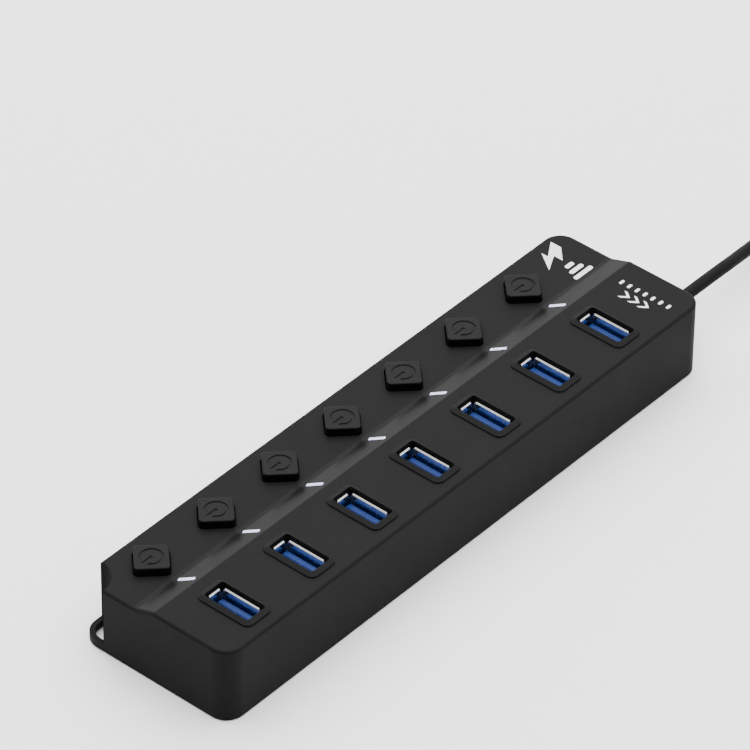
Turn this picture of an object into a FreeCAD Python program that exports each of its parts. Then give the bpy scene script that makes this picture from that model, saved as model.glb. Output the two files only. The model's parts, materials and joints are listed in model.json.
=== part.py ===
import FreeCAD, Part
# Seven-port desktop hub: a long two-level housing with upright sockets and diamond push buttons.
#
# Frame: +X runs along the body to the cord's end, +Y to the button side, +Z up.
# The origin is at the centre of the body's length and width, on the surface that the feet stand on.
# All sizes are in millimetres.
import math
import os
from FreeCAD import Vector, Placement, Rotation

# ---------------------------------------------------------------- driving dimensions
BODY_LENGTH = 182.5
BODY_WIDTH = 48.4
CORNER_RADIUS = 5.3
FOOT_STANDOFF = 0.4          # the case floats this far above the table, on its feet
SHELF_HEIGHT = 19.6          # button level, above the case's lower edge
DECK_HEIGHT = 21.8           # socket level, above the case's lower edge
RAMP_LOW_Y = 6.1             # the sloping strip between the two levels
RAMP_HIGH_Y = 0.0
WALL = 2.0
TOP_EDGE_RADIUS = 0.9
RAMP_FOOT_RADIUS = 5.0       # hollow blend between the strip and the shelf
FIT_GAP = 0.15               # between fixed parts that slip together

PORT_COUNT = 7
PORT_PITCH = 23.5
FIRST_PORT_X = -75.5
PORT_Y = -12.2
MOUTH_X = 6.8                # moulded mouth around each socket
MOUTH_SHIFT = 0.15           # the mouth sits this far towards +X of the socket
MOUTH_Y = 14.1
COLLAR_BASE_X = 9.4
COLLAR_BASE_Y = 17.1
COLLAR_RISE = 0.85
COLLAR_CORNER = 2.0
COLLAR_FOOT = 0.35           # upright step at the collar's foot, below its slope
RIM_DEPTH = 1.03             # metal rim below the collar's top
SHELL_X = 5.72               # outside of the metal socket shell
SHELL_Y = 13.1
SHELL_SHEET = 0.28
LIP_FLARE = 0.05             # how far each lip reaches past the shell's outside
LIP_DROP = 0.33              # height of the leaning part
TONGUE_WIDTH = 11.1
TONGUE_THICKNESS = 1.84
TONGUE_OFFSET = 0.06         # from the socket's centre plane to the contact face
TONGUE_TIP_DEPTH = 3.5       # below the collar's top

BUTTON_SIDE = 8.9
BUTTON_RISE = 2.2            # cap top above the shelf
BUTTON_Y = 14.3
BUTTON_X_SHIFT = -0.5        # from the socket's centre line
BUTTON_GAP = 0.3
BUTTON_TRAVEL = 1.2
BUTTON_CORNER = 1.1
ICON_RADIUS = 2.75
ICON_LINE = 0.8
ICON_DEPTH = 0.2

LIGHT_Y = 3.3
LIGHT_LENGTH = 4.3           # window length
LIGHT_WIDTH = 1.25
LIGHT_TURN = -64.5           # the window's direction in plan, from +X

BOARD_TOP = 7.4
BOARD_THICKNESS = 1.6
FLOOR_TOP = 2.0              # upper face of the bottom plate

EYELET_RADIUS = 7.7          # scoop in the near corner on the button side
EYELET_BAR = 1.4
EYELET_BAR_HEIGHT = 2.0

CORD_DIAMETER = 3.4
CORD_Y = -11.4
CORD_Z = 11.3
RELIEF_LENGTH = 8.0
COIL_CENTRE = (172.0, -20.0)
COIL_INNER_TURN = 13.9       # centre-line radii of the lower layer's first and last turns
COIL_OUTER_TURN = 20.7
COIL_HEIGHT = 6.4
PLUG_TAIL_X = 144.0
PLUG_Y = -38.0
PLUG_Z = 4.2

# ---------------------------------------------------------------- worked-out levels
CASE_LOW = FOOT_STANDOFF
SHELF_Z = CASE_LOW + SHELF_HEIGHT
DECK_Z = CASE_LOW + DECK_HEIGHT
COLLAR_Z = DECK_Z + COLLAR_RISE
RIM_Z = COLLAR_Z - RIM_DEPTH
NEAR_X = -BODY_LENGTH / 2
FAR_X = BODY_LENGTH / 2
PORT_SIDE_Y = -BODY_WIDTH / 2
BUTTON_SIDE_Y = BODY_WIDTH / 2
PORT_XS = [FIRST_PORT_X + i * PORT_PITCH for i in range(PORT_COUNT)]
RAMP_SLOPE = (DECK_HEIGHT - SHELF_HEIGHT) / (RAMP_LOW_Y - RAMP_HIGH_Y)
LIGHT_Z = SHELF_Z + (RAMP_LOW_Y - LIGHT_Y) * RAMP_SLOPE
UP = Vector(0, 0, 1)


# ---------------------------------------------------------------- small geometry helpers
def box(x0, x1, y0, y1, z0, z1):
    """Box between two corners."""
    return Part.makeBox(x1 - x0, y1 - y0, z1 - z0, Vector(x0, y0, z0))


def cylinder(x, y, z0, z1, radius):
    """Upright cylinder."""
    return Part.makeCylinder(radius, z1 - z0, Vector(x, y, z0), UP)


def rounded_outline(x0, x1, y0, y1, radius, z):
    """Closed wire: a rectangle with round corners at height z."""
    arcs = []
    corners = ((x1 - radius, y0 + radius, -90), (x1 - radius, y1 - radius, 0),
               (x0 + radius, y1 - radius, 90), (x0 + radius, y0 + radius, 180))
    for cx, cy, start in corners:
        points = []
        for angle in (start, start + 45, start + 90):
            a = math.radians(angle)
            points.append(Vector(cx + radius * math.cos(a), cy + radius * math.sin(a), z))
        arcs.append(points)
    edges = []
    for i, points in enumerate(arcs):
        edges.append(Part.Arc(*points).toShape())
        edges.append(Part.LineSegment(points[2], arcs[(i + 1) % 4][0]).toShape())
    return Part.Wire(edges)


def rounded_block(x0, x1, y0, y1, z0, z1, radius):
    """Upright prism with round vertical corners."""
    face = Part.Face(rounded_outline(x0, x1, y0, y1, radius, z0))
    return face.extrude(Vector(0, 0, z1 - z0))


def centred_block(x, y, width_x, width_y, z0, z1, radius):
    """Rounded block about a vertical centre line."""
    return rounded_block(x - width_x / 2, x + width_x / 2, y - width_y / 2, y + width_y / 2,
                         z0, z1, radius)


def polygon_prism(points, direction):
    """Prism from a planar polygon and an extrusion vector."""
    vectors = [Vector(*p) for p in points]
    return Part.Face(Part.makePolygon(vectors + vectors[:1])).extrude(direction)


def turned(shape, x, y, degrees):
    """The shape turned about the vertical line through (x, y)."""
    copy = shape.copy()
    copy.rotate(Vector(x, y, 0), UP, degrees)
    return copy


def save(name, shape):
    """Write one sub-part."""
    shape.exportStep("parts/%s.step" % name)


# ---------------------------------------------------------------- housing
def level_profile(inset):
    """The housing's cross-section in the YZ plane, as a prism the body's length long."""
    low = CASE_LOW - 1.0
    shelf = SHELF_Z - inset
    deck = DECK_Z - inset
    y_ports = PORT_SIDE_Y - 1.0
    y_buttons = BUTTON_SIDE_Y + 1.0
    points = [(NEAR_X, y_ports, low), (NEAR_X, y_buttons, low), (NEAR_X, y_buttons, shelf),
              (NEAR_X, RAMP_LOW_Y, shelf), (NEAR_X, RAMP_HIGH_Y, deck), (NEAR_X, y_ports, deck)]
    return polygon_prism(points, Vector(BODY_LENGTH, 0, 0))


def top_edges(solid):
    """Outer edges of the top surface, which are softened."""
    chosen = []
    margin = 0.05
    for edge in solid.Edges:
        bounds = edge.BoundBox
        if bounds.ZMin < SHELF_Z - margin:
            continue
        on_rim = (bounds.XMax < NEAR_X + CORNER_RADIUS + margin
                  or bounds.XMin > FAR_X - CORNER_RADIUS - margin
                  or bounds.YMax < PORT_SIDE_Y + margin
                  or bounds.YMin > BUTTON_SIDE_Y - margin)
        if on_rim:
            chosen.append(edge)
    return chosen


def outer_body():
    """Solid outside form: rounded plan, two levels joined by the sloping strip, soft top edges."""
    plan = rounded_block(NEAR_X, FAR_X, PORT_SIDE_Y, BUTTON_SIDE_Y, CASE_LOW, DECK_Z + 2.0,
                         CORNER_RADIUS)
    body = plan.common(level_profile(0.0))
    foot = [edge for edge in body.Edges
            if edge.Length > BODY_LENGTH / 2 and abs(edge.BoundBox.Center.y - RAMP_LOW_Y) < 0.01]
    body = body.makeFillet(RAMP_FOOT_RADIUS, foot)
    return body.makeFillet(TOP_EDGE_RADIUS, top_edges(body))


def inner_cavity():
    """The hollow inside the housing, open below."""
    plan = rounded_block(NEAR_X + WALL, FAR_X - WALL, PORT_SIDE_Y + WALL, BUTTON_SIDE_Y - WALL,
                         CASE_LOW - 1.0, DECK_Z, CORNER_RADIUS - WALL)
    return plan.common(level_profile(WALL))


def eyelet_cut():
    """Scoop through the near corner on the button side, with the bar left at the bottom."""
    scoop = cylinder(NEAR_X, BUTTON_SIDE_Y, CASE_LOW - 1.0, DECK_Z, EYELET_RADIUS)
    bar_zone = rounded_block(NEAR_X, FAR_X, PORT_SIDE_Y, BUTTON_SIDE_Y, CASE_LOW,
                             CASE_LOW + EYELET_BAR_HEIGHT, CORNER_RADIUS)
    inside = rounded_block(NEAR_X + EYELET_BAR, FAR_X, PORT_SIDE_Y, BUTTON_SIDE_Y - EYELET_BAR,
                           CASE_LOW, CASE_LOW + EYELET_BAR_HEIGHT, CORNER_RADIUS - EYELET_BAR)
    return scoop.cut(bar_zone.cut(inside))


def eyelet_wall():
    """Wall around the scoop, inside the housing."""
    return cylinder(NEAR_X, BUTTON_SIDE_Y, CASE_LOW, SHELF_Z - WALL, EYELET_RADIUS + WALL)


def collar(x):
    """Low collar around one socket mouth: an upright foot, then a slope up to the rim."""
    foot = centred_block(x, PORT_Y, COLLAR_BASE_X, COLLAR_BASE_Y, DECK_Z - 0.02,
                         DECK_Z + COLLAR_FOOT, COLLAR_CORNER)
    lower = rounded_outline(x - COLLAR_BASE_X / 2, x + COLLAR_BASE_X / 2,
                            PORT_Y - COLLAR_BASE_Y / 2, PORT_Y + COLLAR_BASE_Y / 2,
                            COLLAR_CORNER, DECK_Z + COLLAR_FOOT)
    centre = x + MOUTH_SHIFT
    upper = rounded_outline(centre - MOUTH_X / 2 - 0.12, centre + MOUTH_X / 2 + 0.12,
                            PORT_Y - MOUTH_Y / 2 - 0.12, PORT_Y + MOUTH_Y / 2 + 0.12, 0.9,
                            COLLAR_Z)
    return foot.fuse(Part.makeLoft([lower, upper], True, True))


def mouth(x):
    """Opening through the deck for one socket."""
    return centred_block(x + MOUTH_SHIFT, PORT_Y, MOUTH_X, MOUTH_Y, DECK_Z - WALL - 1.0,
                         COLLAR_Z + 1.0, 0.8)


def button_opening(x):
    """Diamond opening through the shelf for one button."""
    side = BUTTON_SIDE + 2 * BUTTON_GAP
    hole = centred_block(x, BUTTON_Y, side, side, SHELF_Z - WALL - 1.0, SHELF_Z + 1.0,
                         BUTTON_CORNER + BUTTON_GAP)
    return turned(hole, x, BUTTON_Y, 45)


def light_slot(x, clearance):
    """Slanting bar shape of one light window, through the strip's wall."""
    bar = centred_block(x, LIGHT_Y, LIGHT_LENGTH + 2 * clearance, LIGHT_WIDTH + 2 * clearance,
                        LIGHT_Z - 4.0, LIGHT_Z + 1.8, 0.4)
    return turned(bar, x, LIGHT_Y, LIGHT_TURN)


BOSS_PLACES = ((84.0, 17.5), (84.0, -18.5), (-84.5, -17.5), (-84.5, 6.5))
BOSS_RADIUS = 3.0
SCREW_RADIUS = 1.15


def boss(x, y):
    """Screw boss hanging from the top wall."""
    return cylinder(x, y, FLOOR_TOP, DECK_Z, BOSS_RADIUS)


def top_housing():
    """The one-piece upper shell with its walls, collars, bosses and eyelet."""
    body = outer_body()
    hollow = inner_cavity().cut(eyelet_wall())
    for x, y in BOSS_PLACES:
        hollow = hollow.cut(boss(x, y))
    shell = body.cut(hollow).cut(eyelet_cut())
    for x in PORT_XS:
        shell = shell.fuse(collar(x))
    cuts = [mouth(x) for x in PORT_XS]
    cuts += [button_opening(x + BUTTON_X_SHIFT) for x in PORT_XS]
    cuts += [light_slot(x, 0.05) for x in PORT_XS]
    cuts.append(Part.makeCylinder(RELIEF_NECK + 0.1, WALL + 2.0,
                                  Vector(FAR_X - WALL - 1.0, CORD_Y, CORD_Z), Vector(1, 0, 0)))
    for x, y in BOSS_PLACES:
        cuts.append(cylinder(x, y, FLOOR_TOP - 0.5, FLOOR_TOP + 9.0, SCREW_RADIUS))
    return shell.cut(cuts).removeSplitter()


# ---------------------------------------------------------------- underside
FOOT_PLACES = ((72.0, 15.0), (72.0, -15.0), (-72.0, 15.0), (-72.0, -15.0))
FOOT_RADIUS = 4.0
FOOT_TOP = 1.0
SCREW_HEAD_RADIUS = 2.1
SCREW_HEAD_HEIGHT = 0.9
POST_PLACES = [(x, y) for x in (-74.0, -28.0, 18.0, 72.0) for y in (-2.0, 18.5)]


def bottom_plate():
    """Inset floor with recesses for the feet and screw heads, and posts under the board."""
    inset = WALL + FIT_GAP
    plate = rounded_block(NEAR_X + inset, FAR_X - inset, PORT_SIDE_Y + inset, BUTTON_SIDE_Y - inset,
                          CASE_LOW, FLOOR_TOP, CORNER_RADIUS - inset)
    plate = plate.cut(cylinder(NEAR_X, BUTTON_SIDE_Y, CASE_LOW - 1.0, FLOOR_TOP + 1.0,
                               EYELET_RADIUS + WALL + FIT_GAP))
    for x, y in POST_PLACES:
        plate = plate.fuse(cylinder(x, y, FLOOR_TOP - 0.2, BOARD_TOP - BOARD_THICKNESS, 2.2))
    cuts = [cylinder(x, y, CASE_LOW - 1.0, FOOT_TOP, FOOT_RADIUS + 0.1) for x, y in FOOT_PLACES]
    for x, y in BOSS_PLACES:
        cuts.append(cylinder(x, y, CASE_LOW - 1.0, CASE_LOW + SCREW_HEAD_HEIGHT + 0.1,
                             SCREW_HEAD_RADIUS + 0.15))
        cuts.append(cylinder(x, y, CASE_LOW, FLOOR_TOP + 1.0, SCREW_RADIUS + 0.1))
    return plate.cut(cuts)


def rubber_feet():
    """Four round feet."""
    feet = []
    for x, y in FOOT_PLACES:
        foot = cylinder(x, y, 0.0, FOOT_TOP, FOOT_RADIUS)
        lower = [edge for edge in foot.Edges if edge.BoundBox.ZMax < 0.01]
        feet.append(foot.makeFillet(0.25, lower))
    return Part.makeCompound(feet)


def case_screws():
    """Four pan-head screws from below, each with a cross recess."""
    screws = []
    for x, y in BOSS_PLACES:
        head = cylinder(x, y, CASE_LOW + 0.1, CASE_LOW + 0.05 + SCREW_HEAD_HEIGHT,
                        SCREW_HEAD_RADIUS)
        screw = head.fuse(cylinder(x, y, CASE_LOW + 0.5, FLOOR_TOP + 7.5, SCREW_RADIUS - 0.05))
        slots = [box(x - 1.2, x + 1.2, y - 0.25, y + 0.25, 0.0, CASE_LOW + 0.55),
                 box(x - 0.25, x + 0.25, y - 1.2, y + 1.2, 0.0, CASE_LOW + 0.55)]
        screws.append(screw.cut(slots))
    return Part.makeCompound(screws)


# ---------------------------------------------------------------- electronics
BOARD_X = (-80.5, 79.5)
BOARD_Y = (-21.0, 21.0)


def circuit_board():
    """Main board, clear of the eyelet and the screw bosses."""
    board = rounded_block(BOARD_X[0], BOARD_X[1], BOARD_Y[0], BOARD_Y[1],
                          BOARD_TOP - BOARD_THICKNESS, BOARD_TOP, 1.5)
    board = board.cut(cylinder(NEAR_X, BUTTON_SIDE_Y, 0.0, BOARD_TOP + 1.0,
                               EYELET_RADIUS + WALL + 1.0))
    notches = [cylinder(x, y, 0.0, BOARD_TOP + 1.0, BOSS_RADIUS + 0.6) for x, y in BOSS_PLACES]
    return board.cut(notches)


def port_shell(x):
    """Folded sheet shell of one socket, with a lip leaning outwards on each side of its mouth."""
    low_z = RIM_Z - LIP_DROP
    outer = centred_block(x, PORT_Y, SHELL_X, SHELL_Y, BOARD_TOP, low_z, 0.6)
    inner = centred_block(x, PORT_Y, SHELL_X - 2 * SHELL_SHEET, SHELL_Y - 2 * SHELL_SHEET,
                          BOARD_TOP - 1.0, RIM_Z + 1.0, 0.3)
    shell = outer.cut(inner)
    for sx in (-1, 1):
        for sy in (-1, 1):
            shell = shell.cut(centred_block(x + sx * SHELL_X / 2, PORT_Y + sy * SHELL_Y / 2,
                                            1.7, 1.3, low_z - 1.1, low_z + 1.0, 0.3))
    long_lip = 11.0
    short_lip = 3.6
    section = ((-SHELL_SHEET, low_z - 0.02), (0.0, low_z - 0.3), (LIP_FLARE + 0.22, RIM_Z - 0.22),
               (LIP_FLARE, RIM_Z))
    for side in (-1, 1):
        edge = x + side * SHELL_X / 2
        lip = [(edge + side * out, PORT_Y - long_lip / 2, z) for out, z in section]
        shell = shell.fuse(polygon_prism(lip, Vector(0, long_lip, 0)))
        edge = PORT_Y + side * SHELL_Y / 2
        lip = [(x - short_lip / 2, edge + side * out, z) for out, z in section]
        shell = shell.fuse(polygon_prism(lip, Vector(short_lip, 0, 0)))
    return shell


TONGUE_BASE_HEIGHT = 3.6


def port_tongue(x):
    """Moulded insulator of one socket: a base block and the upright contact tongue."""
    base_x = SHELL_X - 2 * SHELL_SHEET - 0.1
    base_y = SHELL_Y - 2 * SHELL_SHEET - 0.1
    base = centred_block(x, PORT_Y, base_x, base_y, BOARD_TOP, BOARD_TOP + TONGUE_BASE_HEIGHT, 0.3)
    tip = COLLAR_Z - TONGUE_TIP_DEPTH
    blade = box(x + TONGUE_OFFSET, x + TONGUE_OFFSET + TONGUE_THICKNESS,
                PORT_Y - TONGUE_WIDTH / 2, PORT_Y + TONGUE_WIDTH / 2, BOARD_TOP + 1.0, tip)
    top = [edge for edge in blade.Edges if edge.BoundBox.ZMin > tip - 0.01]
    return base.fuse(blade.makeChamfer(0.25, top))


def port_contacts():
    """Spring contact strips on the tongues of all the sockets."""
    strips = []
    face = TONGUE_OFFSET
    tip = COLLAR_Z - TONGUE_TIP_DEPTH
    for x in PORT_XS:
        for offset in (-3.5, -1.0, 1.0, 3.5):
            y = PORT_Y + offset
            strips.append(box(x + face - 0.2, x + face, y - 0.5, y + 0.5,
                              BOARD_TOP + TONGUE_BASE_HEIGHT, tip - 2.0))
        for offset in (-4.8, -2.25, 0.0, 2.25, 4.8):
            y = PORT_Y + offset
            strips.append(box(x + face - 0.2, x + face, y - 0.3, y + 0.3, tip - 1.6, tip - 0.5))
    return Part.makeCompound(strips)


SWITCH_SIDE = 7.0
SWITCH_TOP = 14.0
PLUNGER_SIDE = 2.6
PLUNGER_GAP = 0.3
CAP_UNDERSIDE = 16.4
FLANGE_TOP = SHELF_Z - WALL - 0.3
FLANGE_SIDE = 10.6


def switch_bodies():
    """Seven self-locking switches on the board, each with a well for its plunger."""
    bodies = []
    well = PLUNGER_SIDE + 2 * PLUNGER_GAP
    for x in PORT_XS:
        cx = x + BUTTON_X_SHIFT
        body = centred_block(cx, BUTTON_Y, SWITCH_SIDE, SWITCH_SIDE, BOARD_TOP, SWITCH_TOP, 0.4)
        hole = centred_block(cx, BUTTON_Y, well, well, BOARD_TOP + 1.2, SWITCH_TOP + 1.0, 0.3)
        bodies.append(body.cut(hole))
    return Part.makeCompound(bodies)


def switch_plunger(x):
    """The post that carries one button down into its switch."""
    cx = x + BUTTON_X_SHIFT
    return centred_block(cx, BUTTON_Y, PLUNGER_SIDE, PLUNGER_SIDE, BOARD_TOP + 3.2, CAP_UNDERSIDE, 0.2)


def power_icon(cx, cy, z):
    """Tool shape for the broken ring and bar moulded into a button's top."""
    ring = cylinder(cx, cy, z - ICON_DEPTH, z + 1.0, ICON_RADIUS + ICON_LINE / 2)
    ring = ring.cut(cylinder(cx, cy, z - 1.0, z + 2.0, ICON_RADIUS - ICON_LINE / 2))
    ring = ring.cut(box(cx - 5.0, cx, cy - 1.15, cy + 1.15, z - 1.0, z + 2.0))
    bar = box(cx - ICON_RADIUS - 0.5, cx + 0.2, cy - ICON_LINE / 2, cy + ICON_LINE / 2,
              z - ICON_DEPTH, z + 1.0)
    return ring.fuse(bar)


def button_cap(x):
    """Square cap set diamond-wise, with a retaining flange under the shelf and a moulded icon."""
    cx = x + BUTTON_X_SHIFT
    top = SHELF_Z + BUTTON_RISE
    cap = centred_block(cx, BUTTON_Y, BUTTON_SIDE, BUTTON_SIDE, CAP_UNDERSIDE, top, BUTTON_CORNER)
    upper = [edge for edge in cap.Edges if edge.BoundBox.ZMin > top - 0.01]
    cap = cap.makeFillet(0.35, upper)
    flange = centred_block(cx, BUTTON_Y, FLANGE_SIDE, FLANGE_SIDE, CAP_UNDERSIDE, FLANGE_TOP, 1.6)
    cap = turned(cap.fuse(flange), cx, BUTTON_Y, 45)
    return cap.cut(power_icon(cx, BUTTON_Y, top))


def light_pipe(x):
    """Clear window bar that carries light from the board up to the sloping strip."""
    bar = centred_block(x, LIGHT_Y, LIGHT_LENGTH, LIGHT_WIDTH, LED_TOP, LIGHT_Z + 1.8, 0.35)
    bar = turned(bar, x, LIGHT_Y, LIGHT_TURN)
    proud = 0.1
    points = [(x - 10, RAMP_LOW_Y + 4, SHELF_Z + proud - 4 * RAMP_SLOPE),
              (x - 10, RAMP_HIGH_Y - 4, DECK_Z + proud + 4 * RAMP_SLOPE),
              (x - 10, RAMP_HIGH_Y - 4, DECK_Z + 8), (x - 10, RAMP_LOW_Y + 4, DECK_Z + 8)]
    return bar.cut(polygon_prism(points, Vector(20, 0, 0)))


LED_TOP = BOARD_TOP + 1.0


def indicator_leds():
    """Surface-mounted lamps under the windows."""
    lamps = [box(x - 1.5, x + 1.5, LIGHT_Y - 0.8, LIGHT_Y + 0.8, BOARD_TOP, LED_TOP) for x in PORT_XS]
    return Part.makeCompound(lamps)


def hub_chip(x, y, side):
    """Square controller package with legs along two sides."""
    body = box(x - side / 2, x + side / 2, y - side / 2, y + side / 2, BOARD_TOP + 0.1, BOARD_TOP + 1.0)
    pieces = [body]
    count = int(side / 1.0)
    for i in range(count):
        leg_x = x - side / 2 + (i + 0.5) * side / count
        for sign in (-1, 1):
            inner_y = y + sign * side / 2
            outer_y = y + sign * (side / 2 + 0.8)
            pieces.append(box(leg_x - 0.15, leg_x + 0.15, min(inner_y, outer_y), max(inner_y, outer_y),
                              BOARD_TOP, BOARD_TOP + 0.25))
    return pieces[0].multiFuse(pieces[1:])


def capacitors():
    """Upright can capacitors between the sockets."""
    cans = []
    for x in PORT_XS[:-1]:
        can = cylinder(x + PORT_PITCH / 2, -15.0, BOARD_TOP, BOARD_TOP + 5.4, 2.5)
        rim = [edge for edge in can.Edges if edge.BoundBox.ZMin > BOARD_TOP + 5.3]
        cans.append(can.makeFillet(0.4, rim))
    return Part.makeCompound(cans)


def crystal():
    """Oval metal clock can."""
    return centred_block(-17.25, 12.0, 10.2, 4.6, BOARD_TOP, BOARD_TOP + 3.5, 2.2)


# ---------------------------------------------------------------- cord and what is on it
RELIEF_NECK = 3.3
RELIEF_FLANGE_X = FAR_X - WALL - 0.1
CORD_RADIUS = CORD_DIAMETER / 2


def bar_along_x(x0, x1, radius, y=CORD_Y, z=CORD_Z):
    """Cylinder lying along X."""
    return Part.makeCylinder(radius, x1 - x0, Vector(x0, y, z), Vector(1, 0, 0))


def cable_relief():
    """Moulded boot: an inner flange, a neck in the end wall and a short ribbed taper outside."""
    relief = bar_along_x(RELIEF_FLANGE_X - 2.0, RELIEF_FLANGE_X, 4.4)
    relief = relief.fuse(bar_along_x(RELIEF_FLANGE_X - 0.5, FAR_X + 0.2, RELIEF_NECK))
    taper = Part.makeCone(3.7, 2.3, RELIEF_LENGTH, Vector(FAR_X + 0.1, CORD_Y, CORD_Z), Vector(1, 0, 0))
    relief = relief.fuse(taper)
    for i in range(3):
        x = FAR_X + 2.0 + 1.9 * i
        ring = bar_along_x(x, x + 0.6, 5.0).cut(bar_along_x(x - 1.0, x + 2.0, 2.95 - 0.25 * i))
        relief = relief.cut(ring)
    return relief


HEADER_X = (72.5, 78.5)


def inner_lead():
    """The cord's jacket inside the case, from the boot to the board's header."""
    return bar_along_x(HEADER_X[1], RELIEF_FLANGE_X - 2.0, CORD_RADIUS)


def cord_header():
    """Wire header on the board."""
    return box(HEADER_X[0], HEADER_X[1], CORD_Y - 5.0, CORD_Y + 5.0, BOARD_TOP, CORD_Z + 2.5)


def cord_route():
    """Route of the straight lead from the boot to the coil."""
    start_x = FAR_X + 0.1 + RELIEF_LENGTH
    return [(start_x, CORD_Y, CORD_Z), (110.0, CORD_Y, CORD_Z), (125.0, -9.6, 8.6),
            (139.0, -7.0, 5.2), (153.0, -1.8, 2.3), (167.0, 0.8, 1.75)]


def tail_route():
    """Route from the coil's upper turn to the plug's boot."""
    return [(170.0, -35.7, 5.1), (161.0, -36.2, 5.9), (152.0, PLUG_Y, PLUG_Z),
            (PLUG_TAIL_X, PLUG_Y, PLUG_Z)]


def tube(points, radius, label):
    """Round tube along straight runs joined by tangent arcs, with its radii printed."""
    nodes = [Vector(*p) for p in points]
    edges = []
    last = nodes[0]
    radii = []
    for i in range(1, len(nodes) - 1):
        back = nodes[i - 1] - nodes[i]
        ahead = nodes[i + 1] - nodes[i]
        reach = 0.45 * min(back.Length, ahead.Length)
        turn = math.pi - back.getAngle(ahead)
        radii.append(reach / math.tan(turn / 2))
        back.normalize()
        ahead.normalize()
        first = nodes[i] + back * reach
        second = nodes[i] + ahead * reach
        bisector = back + ahead
        bisector.normalize()
        centre_distance = math.hypot(radii[-1], reach)
        middle = nodes[i] + bisector * (centre_distance - radii[-1])
        edges.append(Part.LineSegment(last, first).toShape())
        edges.append(Part.Arc(first, middle, second).toShape())
        last = second
    edges.append(Part.LineSegment(last, nodes[-1]).toShape())
    path = Part.Wire(edges)
    section = Part.Wire(Part.makeCircle(radius, nodes[0], nodes[1] - nodes[0]))
    solid = path.makePipeShell([section], True, True)
    expected = math.pi * radius ** 2 * path.Length
    print("%s: length %.1f mm, radii %s, volume over section times length %.4f"
          % (label, path.Length, ", ".join("%.1f" % r for r in radii), solid.Volume / expected))
    return solid


def cable_coil():
    """Outer shape of the put-away coil: a low ring lying on the table."""
    x, y = COIL_CENTRE
    outer = cylinder(x, y, 0.0, COIL_HEIGHT, COIL_OUTER_TURN + CORD_RADIUS)
    ring = outer.cut(cylinder(x, y, -1.0, COIL_HEIGHT + 1.0, COIL_INNER_TURN - CORD_RADIUS))
    return ring


PLUG_BOOT = 6.0
PLUG_BODY = 20.0
PLUG_SHELL = 17.8
PLUG_BODY_Y = 15.0
PLUG_BODY_Z = 7.6


def plug_overmould():
    """Grip of the plug with its tapered boot, lying flat on the table."""
    boot_end = PLUG_TAIL_X - PLUG_BOOT
    boot = Part.makeCone(2.2, 3.3, PLUG_BOOT + 0.2, Vector(PLUG_TAIL_X, PLUG_Y, PLUG_Z),
                         Vector(-1, 0, 0))
    grip = box(boot_end - PLUG_BODY, boot_end, PLUG_Y - PLUG_BODY_Y / 2, PLUG_Y + PLUG_BODY_Y / 2,
               PLUG_Z - PLUG_BODY_Z / 2, PLUG_Z + PLUG_BODY_Z / 2)
    grip = grip.makeFillet(1.6, [e for e in grip.Edges if e.BoundBox.XLength > PLUG_BODY - 0.1])
    return grip.fuse(boot)


def plug_shell():
    """Sheet-metal blade of the plug, with its two latch windows on each wide face."""
    root = PLUG_TAIL_X - PLUG_BOOT - PLUG_BODY
    half_y = 6.0
    half_z = 2.25
    sheet = 0.3
    tip = root - PLUG_SHELL + 6.0
    outer = box(tip, root, PLUG_Y - half_y, PLUG_Y + half_y, PLUG_Z - half_z, PLUG_Z + half_z)
    inner = box(tip - 1.0, root + 1.0, PLUG_Y - half_y + sheet, PLUG_Y + half_y - sheet,
                PLUG_Z - half_z + sheet, PLUG_Z + half_z - sheet)
    shell = outer.cut(inner)
    windows = [box(tip + 4.6, tip + 7.1, PLUG_Y + y - 1.25, PLUG_Y + y + 1.25, 0.0, 10.0)
               for y in (-2.6, 2.6)]
    return shell.cut(windows)


def plug_insert():
    """Blue insulator inside the blade, below the space that a socket's tongue fills."""
    root = PLUG_TAIL_X - PLUG_BOOT - PLUG_BODY
    tip = root - PLUG_SHELL + 6.0
    return box(tip + 0.4, root, PLUG_Y - 5.6, PLUG_Y + 5.6, PLUG_Z - 1.9, PLUG_Z + 0.0)


def plug_contacts():
    """Four flat contacts on the insulator."""
    root = PLUG_TAIL_X - PLUG_BOOT - PLUG_BODY
    tip = root - PLUG_SHELL + 6.0
    strips = [box(tip + 1.2, root - 1.0, PLUG_Y + y - 0.5, PLUG_Y + y + 0.5, PLUG_Z, PLUG_Z + 0.12)
              for y in (-3.5, -1.0, 1.0, 3.5)]
    return Part.makeCompound(strips)


# ---------------------------------------------------------------- write every sub-part
def main():
    os.makedirs("parts", exist_ok=True)
    save("top_housing", top_housing())
    save("bottom_plate", bottom_plate())
    save("rubber_feet", rubber_feet())
    save("case_screws", case_screws())
    save("circuit_board", circuit_board())
    save("port_contacts", port_contacts())
    save("switch_bodies", switch_bodies())
    save("indicator_leds", indicator_leds())
    save("hub_chip", hub_chip(6.25, 13.0, 7.0))
    save("power_chip", hub_chip(-40.75, 13.0, 5.0))
    save("capacitors", capacitors())
    save("crystal", crystal())
    for i, x in enumerate(PORT_XS, 1):
        save("port_shell_%d" % i, port_shell(x))
        save("port_tongue_%d" % i, port_tongue(x))
        save("button_cap_%d" % i, button_cap(x))
        save("switch_plunger_%d" % i, switch_plunger(x))
        save("light_pipe_%d" % i, light_pipe(x))
    save("cable_relief", cable_relief())
    save("inner_lead", inner_lead())
    save("cord_header", cord_header())
    save("cable_lead", tube(cord_route(), CORD_RADIUS, "cable_lead"))
    save("cable_coil", cable_coil())
    save("cable_tail", tube(tail_route(), CORD_RADIUS, "cable_tail"))
    save("plug_overmould", plug_overmould())
    save("plug_shell", plug_shell())
    save("plug_insert", plug_insert())
    save("plug_contacts", plug_contacts())


main()
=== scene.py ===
import json
import math

import bmesh
import bpy
from mathutils import Matrix, Vector


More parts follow.
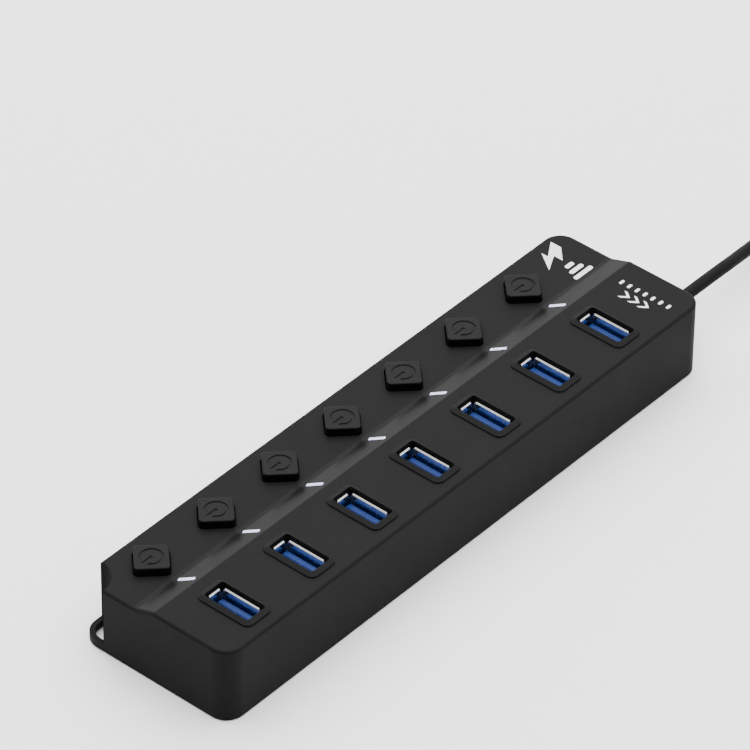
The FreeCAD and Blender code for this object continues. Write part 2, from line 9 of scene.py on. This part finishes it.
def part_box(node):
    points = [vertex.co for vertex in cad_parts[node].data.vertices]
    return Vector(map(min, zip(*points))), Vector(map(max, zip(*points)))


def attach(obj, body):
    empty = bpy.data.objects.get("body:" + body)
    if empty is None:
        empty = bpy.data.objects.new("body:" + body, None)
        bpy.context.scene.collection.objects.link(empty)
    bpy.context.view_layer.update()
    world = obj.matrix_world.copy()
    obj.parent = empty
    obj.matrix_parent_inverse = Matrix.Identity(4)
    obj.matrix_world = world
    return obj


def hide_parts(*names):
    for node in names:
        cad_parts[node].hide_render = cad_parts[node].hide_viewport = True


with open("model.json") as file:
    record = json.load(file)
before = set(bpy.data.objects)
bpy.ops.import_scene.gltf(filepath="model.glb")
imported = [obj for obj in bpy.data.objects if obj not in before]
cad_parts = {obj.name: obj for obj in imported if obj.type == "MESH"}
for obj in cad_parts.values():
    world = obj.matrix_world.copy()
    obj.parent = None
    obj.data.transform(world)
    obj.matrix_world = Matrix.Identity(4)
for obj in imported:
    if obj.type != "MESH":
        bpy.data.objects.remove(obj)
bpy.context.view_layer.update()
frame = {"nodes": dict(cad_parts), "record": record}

MM = 0.001
HOUSING = "housing"
nodes = frame["nodes"]
slot_of = {part["node"]: part["material_slot"] for part in frame["record"]["subparts"]}
housing_low, housing_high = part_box("top_housing")


def add_object(name, data):
    """Put an object with this mesh, curve, camera or light into the scene."""
    obj = bpy.data.objects.new(name, data)
    bpy.context.scene.collection.objects.link(obj)
    return obj


def mesh_object(name, built):
    """Turn a finished bmesh into an object."""
    mesh = bpy.data.meshes.new(name)
    built.to_mesh(mesh)
    built.free()
    return add_object(name, mesh)


# ------------------------------------------------------------------ camera
AZIMUTH_DEG = -49.7122
ELEVATION_DEG = 39.3925
ROLL_DEG = 0.7606
LENS = 292.373               # for a sensor 36 wide
EYE_RIGHT = -6.062           # from the aim point, along the camera's own axes
EYE_UP = 30.742
EYE_BACK = 1527.408
AIM_HEIGHT = 0.4


def place_camera():
    """The viewing angle: from above the near end, on the socket side, with a long lens."""
    azimuth = math.radians(AZIMUTH_DEG)
    elevation = math.radians(ELEVATION_DEG)
    roll = math.radians(ROLL_DEG)
    right = Vector((math.cos(azimuth), math.sin(azimuth), 0))
    back = Vector((math.sin(azimuth) * math.cos(elevation),
                   -math.cos(azimuth) * math.cos(elevation), math.sin(elevation)))
    up = back.cross(right)
    right, up = (right * math.cos(roll) + up * math.sin(roll),
                 up * math.cos(roll) - right * math.sin(roll))
    data = bpy.data.cameras.new("camera")
    data.sensor_width = 36
    data.lens = LENS
    data.clip_start = 0.05
    data.clip_end = 20
    camera = add_object("camera", data)
    eye = (right * EYE_RIGHT * MM + up * EYE_UP * MM + back * EYE_BACK * MM
           + Vector((0, 0, AIM_HEIGHT * MM)))
    camera.matrix_world = Matrix.Translation(eye) @ Matrix((right, up, back)).transposed().to_4x4()
    bpy.context.scene.camera = camera


place_camera()


# ------------------------------------------------------------------ material kit
class Paint:
    """A node material with helpers for detail that is laid out in the object's own space."""

    def __init__(self, name):
        self.material = bpy.data.materials.new(name)
        self.material.use_nodes = True
        tree = self.material.node_tree
        self.nodes = tree.nodes
        self.links = tree.links
        self.shader = self.nodes["Principled BSDF"]
        self.place = self.nodes.new("ShaderNodeTexCoord").outputs["Object"]

    def noise(self, scale, detail=3.0, rough=0.55, stretch=(1, 1, 1)):
        """Noise value; stretch makes it change slowly along the axes with small factors."""
        mapping = self.nodes.new("ShaderNodeMapping")
        mapping.inputs["Scale"].default_value = stretch
        self.links.new(self.place, mapping.inputs["Vector"])
        node = self.nodes.new("ShaderNodeTexNoise")
        node.inputs["Scale"].default_value = scale
        node.inputs["Detail"].default_value = detail
        node.inputs["Roughness"].default_value = rough
        self.links.new(mapping.outputs["Vector"], node.inputs["Vector"])
        return node.outputs["Fac"]

    def span(self, value, low, high, start=0.3, stop=0.7):
        """Value from low to high as the input goes from start to stop."""
        node = self.nodes.new("ShaderNodeMapRange")
        node.inputs["From Min"].default_value = start
        node.inputs["From Max"].default_value = stop
        node.inputs["To Min"].default_value = low
        node.inputs["To Max"].default_value = high
        self.links.new(value, node.inputs["Value"])
        return node.outputs["Result"]

    def band(self, value, rise, fall):
        """Mask that goes up to 1 over the rise and back to 0 over the fall."""
        return self.math("MULTIPLY", self.span(value, 0, 1, *rise), self.span(value, 1, 0, *fall))

    def ramp(self, value, stops):
        """Colour blended between stops of position and colour."""
        node = self.nodes.new("ShaderNodeValToRGB")
        elements = node.color_ramp.elements
        for element, (position, color) in zip(elements, stops):
            element.position = position
            element.color = (*color, 1)
        self.links.new(value, node.inputs["Fac"])
        return node.outputs["Color"]

    def math(self, operation, *values):
        """Result of one sum on numbers or sockets."""
        node = self.nodes.new("ShaderNodeMath")
        node.operation = operation
        for i, value in enumerate(values):
            if isinstance(value, (int, float)):
                node.inputs[i].default_value = value
            else:
                self.links.new(value, node.inputs[i])
        return node.outputs["Value"]

    def axes(self):
        """X, Y and Z of the point, in metres."""
        node = self.nodes.new("ShaderNodeSeparateXYZ")
        self.links.new(self.place, node.inputs["Vector"])
        return [node.outputs[name] for name in "XYZ"]

    def bump(self, height, distance, strength):
        """Fine relief, of this many metres."""
        node = self.nodes.new("ShaderNodeBump")
        node.inputs["Distance"].default_value = distance
        node.inputs["Strength"].default_value = strength
        self.links.new(height, node.inputs["Height"])
        self.links.new(node.outputs["Normal"], self.shader.inputs["Normal"])

    def color(self, output):
        """Use the output as the colour."""
        self.links.new(output, self.shader.inputs["Base Color"])

    def rough(self, output):
        """Use the output as the roughness."""
        self.links.new(output, self.shader.inputs["Roughness"])

    def constant(self, name, value):
        """Set the shader's own constant."""
        self.shader.inputs[name].default_value = value


def grey(value):
    """Neutral grey, very slightly cool."""
    return (value, value, value * 1.01)


MOULD_GRAIN = 0.00035
MOULD_DEPTH = 0.00002


def moulding_grain(p, base, spread, grain=MOULD_GRAIN):
    """Colour of moulded plastic: fine spark-eroded grain over faint flow mottling."""
    speckle = p.noise(1.0 / grain, 2.0, 0.6)
    mottle = p.noise(45.0, 4.0, 0.6)
    mixed = p.math("ADD", p.math("MULTIPLY", speckle, 0.7), p.math("MULTIPLY", mottle, 0.3))
    p.color(p.ramp(mixed, [(0.36, [c * (1 - 3 * spread) for c in base]),
                           (0.64, [c * (1 + 3 * spread) for c in base])]))
    return speckle


def moulded(name, base, rough, grain=MOULD_GRAIN, depth=MOULD_DEPTH, spread=0.05, level=0.5):
    """Moulded plastic or rubber with slightly uneven gloss."""
    p = Paint(name)
    speckle = moulding_grain(p, base, spread, grain)
    p.rough(p.span(p.noise(90.0, 4.0, 0.65), rough * 0.95, rough * 1.05))
    p.bump(speckle, depth, 0.7)
    p.constant("Specular IOR Level", level)
    return p.material


# The sloping strip's span in Y, its lower limit in Z, and how far it stays from the end faces
STRIP_RISE = (0.0, 0.0003)
STRIP_FALL = (0.0064, 0.0072)
STRIP_HEIGHT = (0.0192, 0.0196)
END_SKIP = 0.00055
END_FULL = 0.00125
# The eyelet scoop's wall: its reach from the case's corner, and where it starts above the bar
SCOOP_REACH = (0.0078, 0.0080)
SCOOP_FOOT = (0.0035, 0.0040)


def case_plastic():
    """Matt moulded case: polished sloping strip between the levels, coarse eyelet scoop."""
    matt, polished, coarser = 0.55, 0.25, 0.4
    p = Paint("case_plastic")
    along, side, height = p.axes()
    near_x, far_x = housing_low[0], housing_high[0]
    on_strip = p.math("MULTIPLY", p.band(side, STRIP_RISE, STRIP_FALL),
                      p.span(height, 0, 1, *STRIP_HEIGHT))
    on_strip = p.math("MULTIPLY", on_strip,
                      p.band(along, (near_x + END_SKIP, near_x + END_FULL),
                             (far_x - END_FULL, far_x - END_SKIP)))
    from_x = p.math("SUBTRACT", along, near_x)
    from_y = p.math("SUBTRACT", side, housing_high[1])
    reach = p.math("SQRT", p.math("ADD", p.math("MULTIPLY", from_x, from_x),
                                  p.math("MULTIPLY", from_y, from_y)))
    in_scoop = p.math("MULTIPLY", p.span(reach, 1, 0, *SCOOP_REACH), p.span(height, 0, 1, *SCOOP_FOOT))
    speckle = moulding_grain(p, grey(0.0068), 0.05)
    uneven = p.span(p.noise(90.0, 4.0, 0.65), 0.95, 1.05)
    finish = p.math("ADD", p.span(on_strip, matt, polished, 0, 1), p.span(in_scoop, 0, coarser, 0, 1))
    p.rough(p.math("MULTIPLY", uneven, finish))
    p.bump(p.math("MULTIPLY", speckle, p.span(on_strip, 1, 0.08, 0, 1)), MOULD_DEPTH, 0.7)
    p.constant("Specular IOR Level", 0.043)
    return p.material


def metal(name, base, rough, stretch=(1, 1, 1)):
    """Rolled or plated metal with fine directional marks and slight colour drift."""
    p = Paint(name)
    lines = p.noise(900.0, 4.0, 0.6, stretch)
    p.color(p.ramp(lines, [(0.3, [c * 0.9 for c in base]), (0.7, [min(1, c * 1.06) for c in base])]))
    p.rough(p.span(p.noise(300.0, 4.0, 0.6), rough * 0.8, rough * 1.3))
    p.bump(lines, 0.000003, 0.5)
    p.constant("Metallic", 1.0)
    return p.material


def cord_jacket():
    """Extruded cord jacket with an orange-peel surface and slight colour drift."""
    p = Paint("cord_jacket")
    base, rough = grey(0.007), 0.55
    patch = p.noise(220.0, 4.0, 0.6)
    p.color(p.ramp(patch, [(0.3, [c * 0.88 for c in base]), (0.7, [c * 1.15 for c in base])]))
    p.rough(p.span(p.noise(500.0, 3.0, 0.6), rough * 0.85, rough * 1.2))
    p.bump(p.noise(1400.0, 2.0, 0.5), 0.00001, 0.5)
    p.constant("Specular IOR Level", 0.035)
    return p.material


def board_laminate():
    """Green solder mask with copper tracks showing faintly through."""
    p = Paint("board_laminate")
    cells = p.nodes.new("ShaderNodeTexBrick")
    cells.inputs["Scale"].default_value = 160.0
    cells.inputs["Mortar Size"].default_value = 0.035
    cells.inputs["Color1"].default_value = (0.012, 0.09, 0.035, 1)
    cells.inputs["Color2"].default_value = (0.014, 0.105, 0.045, 1)
    cells.inputs["Mortar"].default_value = (0.03, 0.19, 0.08, 1)
    p.links.new(p.place, cells.inputs["Vector"])
    p.color(cells.outputs["Color"])
    p.rough(p.span(p.noise(120.0), 0.3, 0.42))
    p.bump(cells.outputs["Fac"], 0.00003, 0.6)
    return p.material


def window_plastic():
    """Milky clear plastic of the light windows."""
    p = Paint("window_plastic")
    p.color(p.ramp(p.noise(900.0), [(0.3, (0.52, 0.55, 0.78)), (0.7, (0.62, 0.65, 0.88))]))
    p.rough(p.span(p.noise(400.0), 0.2, 0.32))
    p.constant("Subsurface Weight", 0.35)
    p.constant("Subsurface Radius", (0.002, 0.002, 0.002))
    p.constant("Coat Weight", 0.5)
    return p.material


def strap_weave():
    """Woven strap: fine crossing ribs in the webbing with slight fuzz."""
    p = Paint("strap_weave")
    ribs = p.noise(1.0 / 0.0004, 1.0, 0.5, (1, 0.25, 1))
    p.color(p.ramp(ribs, [(0.3, (0.008, 0.008, 0.009)), (0.7, (0.022, 0.022, 0.024))]))
    p.rough(p.span(p.noise(900.0), 0.75, 0.95))
    p.bump(ribs, 0.00006, 0.8)
    p.constant("Specular IOR Level", 0.1)
    return p.material


def print_ink():
    """Screen-printed white ink: slightly uneven cover with the plastic's grain under it."""
    p = Paint("print_ink")
    p.color(p.ramp(p.noise(1500.0), [(0.25, (0.60, 0.60, 0.60)), (0.6, (0.78, 0.78, 0.78))]))
    p.rough(p.span(p.noise(700.0), 0.45, 0.6))
    p.bump(p.noise(2600.0, 2.0), 0.000008, 0.5)
    return p.material


paints = {
    "case_plastic": case_plastic(),
    "base_plastic": moulded("base_plastic", grey(0.006), 0.6, level=0.2),
    "button_plastic": moulded("button_plastic", grey(0.0033), 0.5, level=0.075),
    "foot_rubber": moulded("foot_rubber", grey(0.013), 0.85, grain=0.0006, depth=0.00003, level=0.2),
    "screw_steel": metal("screw_steel", (0.42, 0.42, 0.43), 0.32),
    "board_laminate": board_laminate(),
    "contact_gold": metal("contact_gold", (0.86, 0.62, 0.26), 0.22, (1, 1, 0.08)),
    "switch_plastic": moulded("switch_plastic", grey(0.012), 0.35),
    "lamp_white": moulded("lamp_white", (0.75, 0.76, 0.78), 0.35, spread=0.04),
    "chip_plastic": moulded("chip_plastic", grey(0.014), 0.55),
    "can_aluminium": metal("can_aluminium", (0.72, 0.72, 0.74), 0.3, (1, 1, 0.06)),
    "can_steel": metal("can_steel", (0.6, 0.6, 0.6), 0.28),
    "socket_steel": metal("socket_steel", (0.92, 0.92, 0.91), 0.14, (1, 1, 0.08)),
    "insulator_blue": moulded("insulator_blue", (0.0025, 0.018, 0.105), 0.35, spread=0.08, level=0.18),
    "window_plastic": window_plastic(),
    "cord_jacket": cord_jacket(),
    "plug_rubber": moulded("plug_rubber", grey(0.008), 0.5, grain=0.0005, level=0.08),
}

for node, obj in nodes.items():
    obj.data.materials.clear()
    obj.data.materials.append(paints[slot_of[node]])


# ------------------------------------------------------------------ cord
CORD_DIAMETER = 3.4
COIL_X, COIL_Y = 172.0, -20.0
COIL_RADIUS = 20.7           # centre line of the outermost turn
COIL_TURNS = 3.5
POINTS_PER_TURN = 16
LAYER_RISE = 2.94            # from the flat turns to the half turn that nests on them
TIE_HALF_WIDTH = 2.2
TIE_INSIDE = 1.74            # the strap's two faces, from the cord's centre line
TIE_OUTSIDE = 2.1
TIE_STEPS = 60
TIE_LOWEST = 0.04


def eased(turned, start, length):
    """0 before start, 1 after start + length, straight between."""
    return min(max((turned - start) / length, 0.0), 1.0)


def coil_points():
    """Three flat turns that step inwards, then half a turn on top of them."""
    bulge = 1.0 / (0.5 + 0.5 * math.cos(math.pi / POINTS_PER_TURN))
    points = []
    for i in range(1, int(POINTS_PER_TURN * COIL_TURNS)):
        turned = i / POINTS_PER_TURN
        lap = min(int(turned), 2)
        radius = COIL_RADIUS - CORD_DIAMETER * lap
        z = CORD_DIAMETER / 2
        if lap < 2:
            radius -= CORD_DIAMETER * eased(turned - lap, 0.72, 0.18)
        else:
            z += LAYER_RISE * eased(turned, 2.5, 0.14)
            radius += CORD_DIAMETER / 2 * eased(turned, 2.57, 0.14)
        angle = math.radians(90 - 360 * turned)
        points.append((COIL_X + radius * bulge * math.cos(angle),
                       COIL_Y + radius * bulge * math.sin(angle), z))
    return points


def make_tie():
    """Strap round the coil's +X side: the tight line round its four turns there."""
    turns = [(COIL_RADIUS - CORD_DIAMETER * lap, CORD_DIAMETER / 2) for lap in range(3)]
    turns.append((COIL_RADIUS - CORD_DIAMETER * 1.5, CORD_DIAMETER / 2 + LAYER_RISE))
    built = bmesh.new()
    loops = []
    for clearance, y in ((TIE_INSIDE, -TIE_HALF_WIDTH), (TIE_INSIDE, TIE_HALF_WIDTH),
                         (TIE_OUTSIDE, TIE_HALF_WIDTH), (TIE_OUTSIDE, -TIE_HALF_WIDTH)):
        loop = []
        for i in range(TIE_STEPS):
            angle = math.radians(360 * i / TIE_STEPS)
            out = (math.cos(angle), math.sin(angle))
            radius, height = max(turns, key=lambda t: t[0] * out[0] + t[1] * out[1])
            z = max(height + clearance * out[1], TIE_LOWEST)
            loop.append(built.verts.new(((COIL_X + radius + clearance * out[0]) * MM,
                                         (COIL_Y + y) * MM, z * MM)))
        loops.append(loop)
    for first, second in zip(loops, loops[1:] + loops[:1]):
        for i in range(TIE_STEPS):
            j = (i + 1) % TIE_STEPS
            built.faces.new((first[i], first[j], second[j], second[i]))
    bmesh.ops.recalc_face_normals(built, faces=built.faces)
    tie = mesh_object("coil_tie", built)
    tie.data.materials.append(strap_weave())
    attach(tie, HOUSING)
    return tie


def make_cord():
    """The whole lead as one smooth line: from the boot down to the table, round the coil, to the plug."""
    lead = [(99.35, -11.4, 11.3), (110.0, -11.4, 11.3), (125.0, -9.6, 8.6), (139.0, -7.0, 5.2),
            (153.0, -1.8, 2.3), (167.0, 0.8, 1.75)]
    tail = [(170.0, -35.7, 5.1), (161.0, -36.2, 5.9), (152.0, -38.0, 4.2), (144.0, -38.0, 4.2)]
    points = lead + coil_points() + tail
    curve = bpy.data.curves.new("cord", "CURVE")
    curve.dimensions = "3D"
    curve.bevel_depth = CORD_DIAMETER / 2 * MM
    curve.bevel_resolution = 6
    curve.resolution_u = 6
    spline = curve.splines.new("NURBS")
    spline.points.add(len(points) - 1)
    for point, place in zip(spline.points, points):
        point.co = (*[v * MM for v in place], 1)
    spline.order_u = 3
    spline.use_endpoint_u = True
    curve.materials.append(paints["cord_jacket"])
    cord = add_object("cord", curve)
    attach(cord, HOUSING)
    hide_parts("cable_lead", "cable_coil", "cable_tail")
    make_tie()


make_cord()


# ------------------------------------------------------------------ printed marks
COLLAR_RISE = 0.85           # the housing's top is the collars' top, this far above the deck
BUTTON_RISE = 2.2            # a button's top is this far above the shelf
INK_GAP = 0.005
INK_THICKNESS = 0.025


def bar_outline(x, y, length_x, length_y):
    """Closed outline of a bar with round ends, in millimetres."""
    radius = min(length_x, length_y) * 0.45
    points = []
    for corner, (sx, sy) in enumerate(((1, 1), (-1, 1), (-1, -1), (1, -1))):
        cx = x + sx * (length_x / 2 - radius)
        cy = y + sy * (length_y / 2 - radius)
        for i in range(5):
            angle = math.radians(90 * corner + 22.5 * i)
            points.append((cx + radius * math.cos(angle), cy + radius * math.sin(angle)))
    return points


def chevron_outline(x, y, length_x, reach, stroke):
    """Closed outline of a chevron that points to -Y."""
    half = length_x / 2
    return [(x + half, y + reach / 2), (x + half, y + reach / 2 + stroke), (x, y - reach / 2 + stroke),
            (x - half, y + reach / 2 + stroke), (x - half, y + reach / 2), (x, y - reach / 2)]


def bolt_outline(x, y, length, width):
    """Closed outline of a plain zigzag flash that points to -X."""
    shape = ((0.50, 0.12), (0.50, 0.50), (-0.06, 0.12), (-0.06, 0.36), (-0.50, -0.30),
             (0.08, 0.02), (0.08, -0.30))
    return [(x + length * u, y + width * v) for u, v in shape]


def make_marks(name, outlines, surface, ink):
    """Thin ink shapes just above a surface."""
    built = bmesh.new()
    for outline in outlines:
        ring = [built.verts.new((x * MM, y * MM, (surface + INK_GAP) * MM)) for x, y in outline]
        face = built.faces.new(ring)
        raised = bmesh.ops.extrude_face_region(built, geom=[face])
        tops = [v for v in raised["geom"] if isinstance(v, bmesh.types.BMVert)]
        bmesh.ops.translate(built, verts=tops, vec=(0, 0, INK_THICKNESS * MM))
    bmesh.ops.triangulate(built, faces=[f for f in built.faces if len(f.verts) > 4])
    bmesh.ops.recalc_face_normals(built, faces=built.faces)
    marks = mesh_object(name, built)
    marks.data.materials.append(ink)
    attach(marks, HOUSING)


def print_marks():
    """A flash over three bars on the shelf; a row of ticks and three chevrons on the deck."""
    ink = print_ink()
    deck = housing_high[2] / MM - COLLAR_RISE
    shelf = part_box("button_cap_7")[1][2] / MM - BUTTON_RISE
    shelf_shapes = [bolt_outline(81.0, 17.6, 9.4, 9.0)]
    shelf_shapes += [bar_outline(81.4, 12.3 - 2.3 * i, 3.0 + 2.0 * i, 1.35) for i in range(3)]
    make_marks("shelf_marks", shelf_shapes, shelf, ink)
    deck_shapes = [bar_outline(82.7, -3.9 - 2.55 * i, 1.7, 0.85) for i in range(7)]
    deck_shapes += [chevron_outline(79.0, -8.6 - 3.1 * i, 2.9, 1.9, 1.0) for i in range(3)]
    make_marks("deck_marks", deck_shapes, deck, ink)


print_marks()


# ------------------------------------------------------------------ floor and light
FLOOR_HALF = 3.0
AWAY = (0.87, 0.49, 0)       # level direction away from the camera


def make_floor():
    """Pale, matt studio floor."""
    built = bmesh.new()
    bmesh.ops.create_grid(built, x_segments=8, y_segments=8, size=FLOOR_HALF)
    floor = mesh_object("floor", built)
    p = Paint("floor_paint")
    p.color(p.ramp(p.noise(3.0), [(0.3, (0.92, 0.92, 0.92)), (0.7, (0.94, 0.94, 0.94))]))
    p.rough(p.span(p.noise(20.0), 0.75, 0.85))
    floor.data.materials.append(p.material)


def area_light(name, place, target, size, power):
    """Rectangular soft light at a place, turned to a target."""
    data = bpy.data.lights.new(name, "AREA")
    data.shape = "RECTANGLE"
    data.size, data.size_y = size
    data.energy = power
    lamp = add_object(name, data)
    lamp.location = place
    lamp.rotation_euler = (Vector(target) - Vector(place)).to_track_quat("-Z", "Y").to_euler()


def make_light():
    """A dome that fades on the near side, one wide overhead softbox and one low strip behind."""
    world = bpy.data.worlds.new("studio")
    world.use_nodes = True
    tree = world.node_tree
    background = tree.nodes["Background"]
    background.inputs["Color"].default_value = (1, 1, 1, 1)
    aim = tree.nodes.new("ShaderNodeTexCoord")
    toward = tree.nodes.new("ShaderNodeVectorMath")
    toward.operation = "DOT_PRODUCT"
    toward.inputs[1].default_value = AWAY
    span = tree.nodes.new("ShaderNodeMapRange")
    span.inputs["From Min"].default_value = -0.75
    span.inputs["From Max"].default_value = -0.15
    span.inputs["To Min"].default_value = 0.05
    span.inputs["To Max"].default_value = 1.45
    tree.links.new(aim.outputs["Generated"], toward.inputs[0])
    tree.links.new(toward.outputs["Value"], span.inputs["Value"])
    tree.links.new(span.outputs["Result"], background.inputs["Strength"])
    bpy.context.scene.world = world
    area_light("key", (0.6, 0.4, 1.4), (0.6, 0.4, 0), (2.8, 2.6), 100)
    area_light("low_back", (0.95, 1.27, 0.4), (0, 0, 0.02), (1.6, 0.6), 4.6)


make_floor()
make_light()
